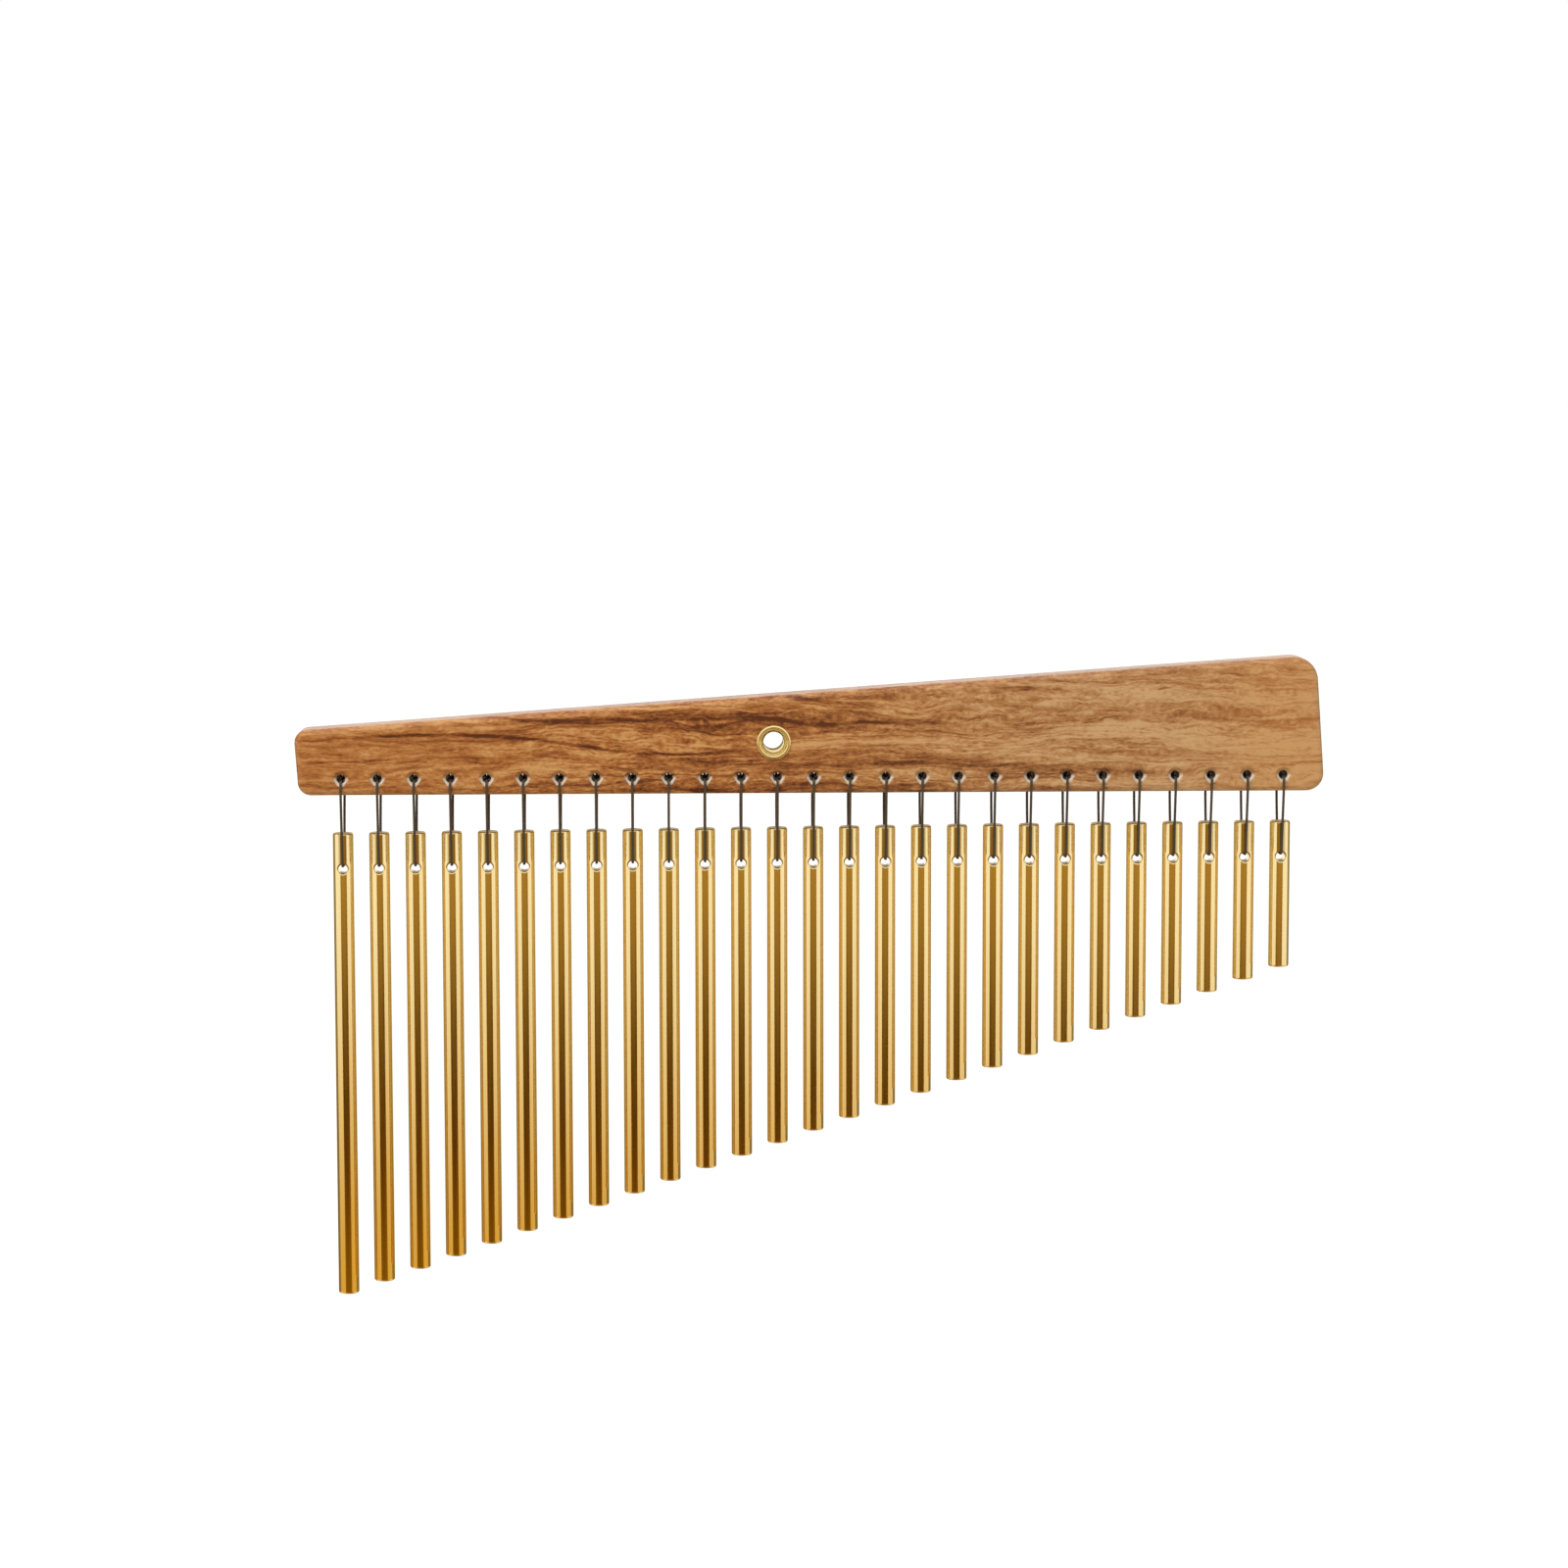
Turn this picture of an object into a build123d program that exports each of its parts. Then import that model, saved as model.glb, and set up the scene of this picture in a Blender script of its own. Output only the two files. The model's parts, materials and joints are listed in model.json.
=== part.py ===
"""Bar chimes: a row of graded metal bars hung on cord loops from a tapered wooden mantle.

Millimetres, +Z up. X runs along the row from the longest bar to the shortest, and -Y is the front.
The origin is the centre of the hang bore, half-way through the mantle's thickness.
"""

import math
import os

from build123d import *

# The row of bars
bar_count = 27
bar_pitch = 16.5
bar_diameter = 9.5
longest_bar = 213.5
shortest_bar = 67.5
cross_hole_diameter = 4.2
cross_hole_depth = 16.3

# How far each bar's top hangs below the line of cord holes
longest_bar_hang = 25.5
shortest_bar_hang = 22.0

# The wooden mantle
mantle_thickness = 20.0
low_end_height = 29.5
high_end_height = 62.0
end_margin = 19.2
hole_line_height = 7.5
low_end_corner = 6.0
high_end_top_corner = 11.0
high_end_bottom_corner = 8.0
edge_chamfer = 1.5

# The cord holes, countersunk on both faces
cord_hole_diameter = 3.8
countersink_diameter = 7.4

# The many small holes are drawn with flat sides, as far apart as the drill's diameter
hole_sides = 8

# The hang eyelet, its place measured from the middle cord hole
eyelet_left_of_middle = 18.2
eyelet_above_hole_line = 16.0
hang_bore_diameter = 9.4
barrel_wall = 0.6
barrel_clearance = 0.1
flange_diameter = 15.6
flange_height = 1.6
funnel_depth = 1.4
rear_roll_width = 1.0
washer_thickness = 0.8

# The cord loops
cord_diameter = 1.2
cord_sides = 6
cord_clearance = 0.15
cord_face_gap = 0.3
knot_diameter = 4.4
knot_length = 3.0

# Levels and half sizes that several pieces share
half_thickness = mantle_thickness / 2
bar_radius = bar_diameter / 2
cord_radius = cord_diameter / 2
cord_hole_radius = cord_hole_diameter / 2
cross_hole_radius = cross_hole_diameter / 2
countersink_radius = countersink_diameter / 2
hole_line_z = -eyelet_above_hole_line
mantle_bottom_z = hole_line_z - hole_line_height
row_length = (bar_count - 1) * bar_pitch
first_hole_x = eyelet_left_of_middle - row_length / 2
hole_xs = [first_hole_x + n * bar_pitch for n in range(bar_count)]
rear_plane = Plane(origin=(0, half_thickness, 0), x_dir=(-1, 0, 0), z_dir=(0, 1, 0))
flat_side_down = 180 / hole_sides


def along_row(n, at_longest, at_shortest):
    """A size of bar n, evenly graded from the longest bar to the shortest."""
    return at_longest + (at_shortest - at_longest) * n / (bar_count - 1)


def drilled(radius):
    """The outline of a small hole, in the sketch that is open."""
    return RegularPolygon(radius, hole_sides, major_radius=False, rotation=flat_side_down)


os.makedirs("parts", exist_ok=True)

# Mantle: a tapered board whose ends are cut square to its sloping top edge
left_x = hole_xs[0] - end_margin
right_x = hole_xs[-1] + end_margin
end_lean = (high_end_height - low_end_height) / (right_x - left_x)
countersink_depth = countersink_radius - cord_hole_radius
barrel_radius = hang_bore_diameter / 2 + barrel_wall

with BuildPart() as mantle:
    with BuildSketch(Plane.XZ) as board:
        with BuildLine():
            Polyline(
                (left_x, mantle_bottom_z),
                (right_x, mantle_bottom_z),
                (right_x - high_end_height * end_lean, mantle_bottom_z + high_end_height),
                (left_x - low_end_height * end_lean, mantle_bottom_z + low_end_height),
                close=True,
            )
        make_face()
        fillet(board.vertices().sort_by(Axis.X)[:2], low_end_corner)
        fillet(board.vertices().sort_by(Axis.X)[-1], high_end_bottom_corner)
        fillet(board.vertices().sort_by(Axis.Y)[-1], high_end_top_corner)
    extrude(amount=half_thickness, both=True)
    chamfer(mantle.faces().filter_by(Axis.Y).edges(), edge_chamfer)
    with BuildSketch(Plane.XZ):
        with Locations(*[(x, hole_line_z) for x in hole_xs]):
            drilled(cord_hole_radius)
    extrude(amount=half_thickness, both=True, mode=Mode.SUBTRACT)
    broad_faces = mantle.faces().filter_by(Axis.Y)
    hole_rims = [rim for face in broad_faces for rim in face.inner_wires()]
    chamfer([edge for rim in hole_rims for edge in rim.edges()], countersink_depth)
    with BuildSketch(Plane.XZ):
        Circle(barrel_radius + barrel_clearance)
    extrude(amount=half_thickness, both=True, mode=Mode.SUBTRACT)
mantle.part.label = "mantle"
export_step(mantle.part, "parts/mantle.step")

# Hang eyelet: funnel-mouthed flange in front, barrel through the board, rear end rolled over its washer
bore_radius = hang_bore_diameter / 2
flange_radius = flange_diameter / 2
front_face_y = -half_thickness - flange_height
washer_rear_y = half_thickness + washer_thickness
rear_end_y = washer_rear_y + barrel_wall
rear_roll_radius = barrel_radius + rear_roll_width

with BuildPart() as hang_eyelet:
    with BuildSketch(Plane.XY):
        with BuildLine():
            Polyline(
                (bore_radius, front_face_y + funnel_depth),
                (bore_radius + funnel_depth, front_face_y),
                (flange_radius, front_face_y),
                (flange_radius, -half_thickness),
                (barrel_radius, -half_thickness),
                (barrel_radius, washer_rear_y),
                (rear_roll_radius, washer_rear_y),
                (rear_roll_radius, rear_end_y),
                (bore_radius, rear_end_y),
                close=True,
            )
        make_face()
    revolve(axis=Axis.Y)
hang_eyelet.part.label = "hang_eyelet"
export_step(hang_eyelet.part, "parts/hang_eyelet.step")

# Eyelet washer: lies on the board's rear face, under the rolled end of the barrel
with BuildPart() as eyelet_washer:
    with BuildSketch(rear_plane):
        Circle(flange_radius)
        Circle(barrel_radius + barrel_clearance, mode=Mode.SUBTRACT)
    extrude(amount=washer_thickness)
eyelet_washer.part.label = "eyelet_washer"
export_step(eyelet_washer.part, "parts/eyelet_washer.step")

# Chime bars: solid rods, drilled across near the top for the cord
for n, x in enumerate(hole_xs):
    length = along_row(n, longest_bar, shortest_bar)
    top_z = hole_line_z - along_row(n, longest_bar_hang, shortest_bar_hang)
    cross_hole_centre = (x, 0, top_z - cross_hole_depth)
    with BuildPart() as chime_bar:
        with BuildSketch(Plane((x, 0, top_z))):
            Circle(bar_radius)
        extrude(amount=-length)
        with BuildSketch(Plane(cross_hole_centre, x_dir=(1, 0, 0), z_dir=(0, -1, 0))):
            drilled(cross_hole_radius)
        extrude(amount=bar_diameter, both=True, mode=Mode.SUBTRACT)
    chime_bar.part.label = f"chime_bar_{n + 1:02d}"
    export_step(chime_bar.part, f"parts/chime_bar_{n + 1:02d}.step")

# Cord loops: from the knot in the rear countersink through the mantle, down the front,
# through the bar and up the rear to the knot again
strand_y = half_thickness + cord_face_gap + cord_radius
bar_strand_y = bar_radius + cord_face_gap + cord_radius
cord_in_hole_z = hole_line_z - (cord_hole_radius - cord_radius - cord_clearance)
edge_bend_z = mantle_bottom_z + edge_chamfer
top_bend = countersink_depth + cord_face_gap + cord_radius
top_corner = top_bend * (1 - math.tan(math.radians(22.5)))
knot_radius = knot_diameter / 2
knot_seat_depth = countersink_radius - knot_radius - cord_clearance
knot_y = half_thickness - knot_seat_depth + knot_length / 2

for n, x in enumerate(hole_xs):
    top_z = hole_line_z - along_row(n, longest_bar_hang, shortest_bar_hang)
    cord_in_bar_z = top_z - cross_hole_depth + cross_hole_radius - cord_radius - cord_clearance
    with BuildPart() as cord_loop:
        with BuildSketch(rear_plane.offset(-knot_seat_depth)):
            with Locations((-x, hole_line_z)):
                RegularPolygon(knot_radius, cord_sides)
        extrude(amount=knot_length)
        with BuildLine(Plane(origin=(x, 0, 0), x_dir=(0, 1, 0), z_dir=(1, 0, 0))) as route:
            Polyline(
                (knot_y, cord_in_hole_z),
                (-strand_y + top_corner, cord_in_hole_z),
                (-strand_y, cord_in_hole_z - top_corner),
                (-strand_y, edge_bend_z),
                (-bar_strand_y, cord_in_bar_z),
                (bar_strand_y, cord_in_bar_z),
                (strand_y, edge_bend_z),
                (strand_y, hole_line_z),
            )
        with BuildSketch(Plane(route.line @ 0, z_dir=route.line % 0)):
            RegularPolygon(cord_radius, cord_sides)
        sweep(transition=Transition.RIGHT)
    cord_loop.part.label = f"cord_loop_{n + 1:02d}"
    export_step(cord_loop.part, f"parts/cord_loop_{n + 1:02d}.step")
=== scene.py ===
"""Bar chimes: the finished surfaces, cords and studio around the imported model.

Metres, +Z up. X runs along the row from the longest bar to the shortest, and -Y is the front.
The origin is the centre of the hang bore, half-way through the mantle's thickness.
"""
import json
import math

import bmesh
import bpy
from mathutils import Matrix, Vector


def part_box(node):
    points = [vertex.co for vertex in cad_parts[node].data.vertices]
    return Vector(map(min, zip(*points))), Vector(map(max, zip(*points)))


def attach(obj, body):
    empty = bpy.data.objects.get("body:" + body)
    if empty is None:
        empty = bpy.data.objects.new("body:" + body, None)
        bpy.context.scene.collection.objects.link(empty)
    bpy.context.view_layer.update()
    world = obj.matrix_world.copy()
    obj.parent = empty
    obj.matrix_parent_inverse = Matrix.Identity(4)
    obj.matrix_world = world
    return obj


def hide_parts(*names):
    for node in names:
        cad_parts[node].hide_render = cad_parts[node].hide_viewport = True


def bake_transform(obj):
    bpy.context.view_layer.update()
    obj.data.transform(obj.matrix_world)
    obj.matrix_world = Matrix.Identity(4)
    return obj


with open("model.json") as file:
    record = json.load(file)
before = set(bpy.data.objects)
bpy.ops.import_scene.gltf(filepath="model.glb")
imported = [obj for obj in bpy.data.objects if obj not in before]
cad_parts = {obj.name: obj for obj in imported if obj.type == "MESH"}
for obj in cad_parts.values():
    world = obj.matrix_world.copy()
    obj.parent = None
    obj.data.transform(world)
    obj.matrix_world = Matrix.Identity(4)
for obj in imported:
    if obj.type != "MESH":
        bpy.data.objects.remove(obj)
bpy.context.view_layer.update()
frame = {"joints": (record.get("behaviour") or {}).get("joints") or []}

MM = 0.001

# The row of bars
BAR_RADIUS = 4.75 * MM
BAR_END_ROUND = 0.9 * MM
CROSS_HOLE_RADIUS = 2.1 * MM
CROSS_HOLE_DEPTH = 16.3 * MM
CROSS_HOLE_LIP = 0.75 * MM

# The bars' mesh: columns round the side, and the patch of columns that holds a mouth of the cross-hole
BAR_COLUMNS = 64
HALF_TURN = BAR_COLUMNS // 2
PATCH = BAR_COLUMNS // 4
HALF_PATCH = PATCH // 2
BAR_END_STEPS = 5
MOUTH_RINGS = 4
LIP_STEPS = 4

# The wooden mantle
MANTLE_HALF = 10.0 * MM
LOW_END_HEIGHT = 29.5 * MM
HIGH_END_HEIGHT = 62.0 * MM
END_MARGIN = 19.2 * MM
HOLE_LINE_HEIGHT = 7.5 * MM
LOW_END_CORNER = 6.0 * MM
HIGH_END_TOP_CORNER = 11.0 * MM
HIGH_END_BOTTOM_CORNER = 8.0 * MM
EDGE_ROUND = 2.8 * MM
CORNER_STEPS = 12
EDGE_STEPS = 6

# The mantle's holes, each with a flat rim round its mouths
CORD_HOLE_RADIUS = 1.9 * MM
CORD_HOLE_SOFTNESS = 0.5 * MM
COUNTERSINK_RADIUS = 3.7 * MM
BARREL_HOLE_RADIUS = 5.4 * MM
BARREL_HOLE_SOFTNESS = 0.2 * MM
RIM_WIDTH = 0.6 * MM
HOLE_COLUMNS = 32

# The hang eyelet and its washer
BORE_RADIUS = 4.7 * MM
BARREL_RADIUS = 5.3 * MM
FLANGE_RADIUS = 7.8 * MM
FLANGE_HEIGHT = 1.6 * MM
FUNNEL_DEPTH = 1.6 * MM
GROOVE_RADIUS = 6.0 * MM
GROOVE_DEPTH = 1.1 * MM
GROOVE_LIP_RADIUS = 5.75 * MM
GROOVE_LIP_DEPTH = 0.45 * MM
BEAD_INNER_RADIUS = 6.12 * MM
BEAD_INNER_ROUND = 0.7 * MM
BEAD_OUTER_RADIUS = 7.75 * MM
BEAD_OUTER_ROUND = 0.85 * MM
WASHER_THICKNESS = 0.8 * MM
ROLL_RADIUS = 6.3 * MM
ROLL_HEIGHT = 0.6 * MM
EYELET_COLUMNS = 96

# The cords
CORD_RADIUS = 0.62 * MM
CORD_SIDES = 10
CORD_STEP = 0.45 * MM
CURVE_STEPS = 12
CORD_FACE_GAP = 0.3 * MM
CORD_CLEARANCE = 0.15 * MM
CORD_STRANDS = 4
CORD_LAY = 2.5 * MM
CORD_RELIEF = 0.10
KNOT_RADIUS = 1.8 * MM
KNOT_TURNS = 2.5
KNOT_POINTS_PER_TURN = 12
KNOT_PITCH = 1.3 * MM
KNOT_START_Y = 10.2 * MM
TAIL_LENGTH = 5.0 * MM

# The camera, found from the cord holes and the bars' ends in the photograph
CAMERA_PLACE = (-0.0498, -1.7813, 0.1656)
CAMERA_YAW = 1.76
CAMERA_PITCH = -5.95
CAMERA_ROLL = -0.10
CAMERA_LENS = 90.0
CAMERA_SENSOR = 36.0
CAMERA_REACH = 100.0


def joint_places(kind):
    """Where each joint of a kind is, by its bar's number."""
    return {j["name"][-2:]: Vector(j["pos_m"]) for j in frame["joints"] if j["name"].startswith(kind)}


holes = joint_places("sway_")
numbers = list(holes)


def cross_hole_place(number):
    """Where a bar's cross-hole goes through the middle of the bar."""
    low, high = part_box("chime_bar_" + number)
    return Vector((holes[number].x, 0, high.z - CROSS_HOLE_DEPTH))


# Surfaces

class Surface:
    """Points with their true normals, and the faces between them."""

    def __init__(self):
        self.points = []
        self.normals = []
        self.faces = []

    def add(self, point, normal):
        """A new point, by its number."""
        self.points.append(Vector(point))
        self.normals.append(Vector(normal).normalized())
        return len(self.points) - 1

    def strip(self, a, b):
        """Quads between two closed rings with the same number of points."""
        for i in range(len(a)):
            j = (i + 1) % len(a)
            self.faces.append((a[i], a[j], b[j], b[i]))

    def fan(self, centre, ring):
        """Triangles between a point and a closed ring round it."""
        for i in range(len(ring)):
            self.faces.append((centre, ring[i], ring[(i + 1) % len(ring)]))

    def piece(self, name, fills=()):
        """The finished object. Each fill is a list of closed rings that bound one flat face with holes."""
        mesh = bpy.data.meshes.new(name)
        bm = bmesh.new()
        corners = [bm.verts.new(p) for p in self.points]
        for face in self.faces:
            bm.faces.new([corners[i] for i in face])
        for rings in fills:
            rims = []
            for ring in rings:
                for i in range(len(ring)):
                    pair = (corners[ring[i]], corners[ring[(i + 1) % len(ring)]])
                    rims.append(bm.edges.get(pair) or bm.edges.new(pair))
            bmesh.ops.triangle_fill(bm, use_beauty=True, use_dissolve=False, edges=rims)
        bmesh.ops.recalc_face_normals(bm, faces=bm.faces)
        for face in bm.faces:
            face.smooth = True
        bm.to_mesh(mesh)
        bm.free()
        mesh.normals_split_custom_set_from_vertices(self.normals)
        made = bpy.data.objects.new(name, mesh)
        bpy.context.scene.collection.objects.link(made)
        return made


def filleted(corners, steps=6):
    """A path of (point, normal) pairs through corners given as (radius, along, fillet).

    The normal is on the left of the way the path goes. An end's own fillet isn't used.
    """
    made = []
    for i, (r, a, fillet) in enumerate(corners):
        here = Vector((r, a))
        ways = []
        if i > 0:
            ways.append((here - Vector(corners[i - 1][:2])).normalized())
        if i < len(corners) - 1:
            ways.append((Vector(corners[i + 1][:2]) - here).normalized())
        sides = [Vector((-w.y, w.x)) for w in ways]
        if len(ways) == 1 or fillet == 0:
            made.extend((here, side) for side in sides)
            continue
        turn = ways[0].angle_signed(ways[1])
        reach = fillet * math.tan(abs(turn) / 2)
        start = here - ways[0] * reach
        bulge = 1 if turn > 0 else -1
        centre = start - sides[0] * fillet * bulge
        for k in range(steps + 1):
            side = Matrix.Rotation(-turn * k / steps, 2) @ sides[0]
            made.append((centre + side * fillet * bulge, side))
    return made


def circle(columns):
    """The angles of evenly spaced columns round a circle."""
    return [2 * math.pi * k / columns for k in range(columns)]


def revolve_y(surface, path, centre, columns):
    """Rings of a path of (radius, y) points about the Y axis through centre."""
    rings = []
    for at, side in path:
        ring = []
        for angle in circle(columns):
            out = Vector((math.cos(angle), 0, math.sin(angle)))
            point = Vector((centre.x, at.y, centre.z)) + out * at.x
            ring.append(surface.add(point, out * side.x + Vector((0, side.y, 0))))
        rings.append(ring)
    for a, b in zip(rings, rings[1:]):
        surface.strip(a, b)
    return rings


def settle(piece, body, cad_node, material):
    """Hangs a finished piece on its body in place of the node that it stands for."""
    piece.data.materials.append(material)
    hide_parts(cad_node)
    if body:
        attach(piece, body)


# Node trees

def node(tree, kind, links=None, **settings):
    """One shader node. links gives each input, by name or number, a value or another node's output."""
    made = tree.nodes.new(kind)
    for key, value in settings.items():
        setattr(made, key, value)
    for key, value in (links or {}).items():
        if isinstance(value, bpy.types.NodeSocket):
            tree.links.new(value, made.inputs[key])
        else:
            made.inputs[key].default_value = value
    return made


def math_node(tree, operation, *values):
    """A sum, product or other operation on values and outputs."""
    return node(tree, "ShaderNodeMath", dict(enumerate(values)), operation=operation).outputs[0]


def new_material(name):
    """A material and its empty node tree."""
    material = bpy.data.materials.new(name)
    material.use_nodes = True
    tree = material.node_tree
    tree.nodes.clear()
    return material, tree


def finish_material(tree, shader):
    """Gives the material its shader."""
    node(tree, "ShaderNodeOutputMaterial", {"Surface": shader})


def own_place(tree):
    """The object's own place, in metres."""
    return node(tree, "ShaderNodeTexCoord").outputs["Object"]


def placed(tree, scale):
    """The object's own place, stretched by scale."""
    return node(tree, "ShaderNodeMapping", {"Vector": own_place(tree), "Scale": scale}).outputs[0]


def axes(tree, vector):
    """A vector's X, Y and Z."""
    return node(tree, "ShaderNodeSeparateXYZ", {0: vector}).outputs


def length_of(tree, vector):
    """A vector's length."""
    return node(tree, "ShaderNodeVectorMath", {0: vector}, operation="LENGTH").outputs["Value"]


# Where most of a noise's values are
NOISE_RANGE = (0.3, 0.7)


def noise(tree, at, detail=4.0, roughness=0.55):
    """Soft noise from 0 to 1."""
    links = {"Vector": at, "Scale": 1.0, "Detail": detail, "Roughness": roughness}
    return node(tree, "ShaderNodeTexNoise", links).outputs["Fac"]


def centred(tree, value, reach):
    """A noise of 0 to 1, made to run half of reach to either side of 0."""
    return math_node(tree, "MULTIPLY_ADD", value, reach, -reach / 2)


def ramp(tree, value, stops):
    """The colour at value, graded between (value, colour) stops."""
    made = node(tree, "ShaderNodeValToRGB", {"Fac": value})
    while len(made.color_ramp.elements) < len(stops):
        made.color_ramp.elements.new(0.5)
    for element, (at, colour) in zip(made.color_ramp.elements, stops):
        element.position = at
        element.color = (*colour, 1)
    return made.outputs["Color"]


def mix(tree, share, a, b):
    """Colour a where share is 0, and b where it is 1."""
    return node(tree, "ShaderNodeMix", {0: share, 6: a, 7: b}, data_type="RGBA").outputs[2]


def span(tree, value, low, high, to_low=0.0, to_high=1.0):
    """value's range low to high, eased into another."""
    links = {"Value": value, "From Min": low, "From Max": high, "To Min": to_low, "To Max": to_high}
    return node(tree, "ShaderNodeMapRange", links, interpolation_type="SMOOTHSTEP").outputs[0]


def fall(tree, value, low, high):
    """1 up to low, easing to 0 at high."""
    return span(tree, value, low, high, 1.0, 0.0)


# Figure of the board's face, in millimetres: each line's (x, z) points, its half width and its strength
DARK_LINES = [
    ([(-211, -8.3), (-190, -8.0), (-173, -7.2)], 0.9, 0.8),
    ([(-184, 3.3), (-131, 3.5), (-91, -0.7), (-64, -4.6), (-30, -4.7), (-7, -3.0)], 1.3, 1.25),
    ([(-125, 11.4), (-95, 9.8), (-64, 10.0), (-30, 10.7),
      (-5, 11.0), (20, 7.8), (50, 9.0), (77, 8.0)], 1.8, 1.0),
    ([(8, 20.0), (35, 20.5), (60, 20.0)], 2.6, 0.6),
    ([(52, -8.5), (94, -10.5), (145, -13.5), (172, -15.0)], 3.2, 0.65),
    ([(111, 8.0), (132, 8.2)], 0.7, 0.7),
    ([(140, 8.0), (155, 11.0)], 0.7, 0.8),
    ([(98, 22.5), (118, 24.0)], 3.0, 0.7),
    ([(175, 23.4), (181, 23.8)], 1.0, 1.0),
    ([(45.4, -10.5), (47.6, -10.5)], 1.0, 1.2),
]
LIGHT_LINES = [
    ([(-179, -14.7), (-150, -11.0), (-120, -10.3), (-91, -13.5)], 1.1, 0.7),
    ([(-36, 13.0), (-25, 15.5), (-8, 13.5), (0, 12.0), (8, 14.5), (14, 15.0)], 0.9, 0.9),
    ([(60, -4.5), (94, -5.0), (140, -8.0), (181, -11.0)], 1.3, 0.8),
    ([(-133, 7.0), (-110, 6.5), (-83, 5.0)], 2.6, 0.6),
]
DARKER = -0.42
LIGHTER = 0.3
LINE_FADE = 0.12
LEAST_LINE_FADE = 0.4

# How lively and how light the grain is along the board's face, at each x in millimetres
LIVELINESS = [(-220, 1.1), (-150, 1.2), (-60, 1.7), (40, 1.5), (130, 1.4), (220, 1.1)]
LIGHTNESS = [(-220, 0.56), (-150, 0.55), (-60, 0.52), (40, 0.54), (130, 0.59), (220, 0.69)]
FACE_LEFT, FACE_RIGHT, FACE_LOW, FACE_TOP = -230.0, 270.0, -30.0, 45.0

# The grain's layers: how fine the noise is along X, Y and Z, its detail, and its share of the tone
GRAIN = {
    "bands": ((5, 40, 120), 3.0, 0.9),
    "lines": ((22, 120, 620), 5.0, 0.8),
    "chatter": ((120, 260, 560), 4.0, 0.75),
    "pores": ((420, 700, 1300), 2.0, 0.6),
}
GRAIN_ROUGHNESS = 0.6

# The noise that breaks the drawn lines, and the least that is left of them
BREAKS = ((45, 120, 420), 3.0)
BREAKS_RANGE = (0.34, 0.56)
LEAST_LINE = 0.5

# The long waves that bend the grain, and the tighter curl of the high end
WAVE_SCALE = (14, 45, 55)
WAVE_HEIGHT = 16.0 * MM
CURL_SCALE = (75, 120, 190)
CURL_HEIGHT = 4.2 * MM
BEND_DETAIL = 3.0

# Along the board, in millimetres: where the curl grows, where the colour turns tan, and where that fades
CURL_GROWS = (20.0, 130.0)
LEAST_CURL = 0.35
TAN_GROWS = (-40.0, 150.0)
TAN_FADES = (170.0, 240.0)
LEAST_TAN = 0.30

# The wood's colours by tone, at the low end and towards the high end
ORANGE_WOOD = [
    (0.05, (0.110, 0.022, 0.003)),
    (0.32, (0.330, 0.095, 0.015)),
    (0.54, (0.520, 0.190, 0.040)),
    (0.85, (0.740, 0.380, 0.130)),
]
TAN_WOOD = [
    (0.05, (0.140, 0.040, 0.008)),
    (0.32, (0.350, 0.130, 0.035)),
    (0.54, (0.530, 0.240, 0.080)),
    (0.85, (0.740, 0.440, 0.200)),
]

# The cord holes: painted shade in the bores, and a pale painted highlight on the lower rim of each
# countersink, where it faces up to the light
BORE_SHADE_WOOD = (0.16, 0.080, 0.032, 1)
BORE_FADE = (-0.1 * MM, 0.3 * MM)
RIM_HIGHLIGHT_WOOD = (0.93, 0.82, 0.66, 1)
RIM_HIGHLIGHT_RAGGEDNESS = 1.6 * MM
RIM_HIGHLIGHT_EDGE = 0.6 * MM
RIM_HIGHLIGHT_TOP = (-0.6 * MM, 1.2 * MM)
RIM_HIGHLIGHT_SLOPE = 0.7
RIM_HIGHLIGHT_HALF_WIDTH = (3.1 * MM, 4.1 * MM)


def graph(tree, x, points, low, high):
    """A smooth curve of x, in millimetres along the board's face, through points.

    The points' values are between low and high.
    """
    reach = FACE_RIGHT - FACE_LEFT
    share = math_node(tree, "MULTIPLY_ADD", x, 1 / reach, -FACE_LEFT / reach)
    made = node(tree, "ShaderNodeFloatCurve", {"Value": share})
    curve = made.mapping.curves[0]
    for i, (px, value) in enumerate(points):
        at = ((px - FACE_LEFT) / reach, (value - low) / (high - low))
        if i < 2:
            curve.points[i].location = at
        else:
            curve.points.new(*at)
    made.mapping.update()
    return math_node(tree, "MULTIPLY_ADD", made.outputs[0], high - low, low)


def drawn_line(tree, x, z, points, half_width):
    """1 along a drawn line of the board's face, and 0 away from it. x and z are in millimetres."""
    line = graph(tree, x, points, FACE_LOW, FACE_TOP)
    away = math_node(tree, "ABSOLUTE", math_node(tree, "SUBTRACT", z, line))
    first, last = points[0][0], points[-1][0]
    fade = LINE_FADE * (last - first) + LEAST_LINE_FADE
    begun = span(tree, x, first - fade, first + fade)
    ended = fall(tree, x, last - fade, last + fade)
    along = math_node(tree, "MULTIPLY", begun, ended)
    return math_node(tree, "MULTIPLY", fall(tree, away, 0.0, half_width), along)


def with_lines(tree, tone, x, z, broken):
    """The board's tone with its drawn dark and light lines."""
    for marks, change in ((DARK_LINES, DARKER), (LIGHT_LINES, LIGHTER)):
        for points, half_width, strength in marks:
            line = drawn_line(tree, x, z, points, half_width)
            mark = math_node(tree, "MULTIPLY", line, broken)
            tone = math_node(tree, "MULTIPLY_ADD", mark, change * strength, tone)
    return tone


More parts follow.
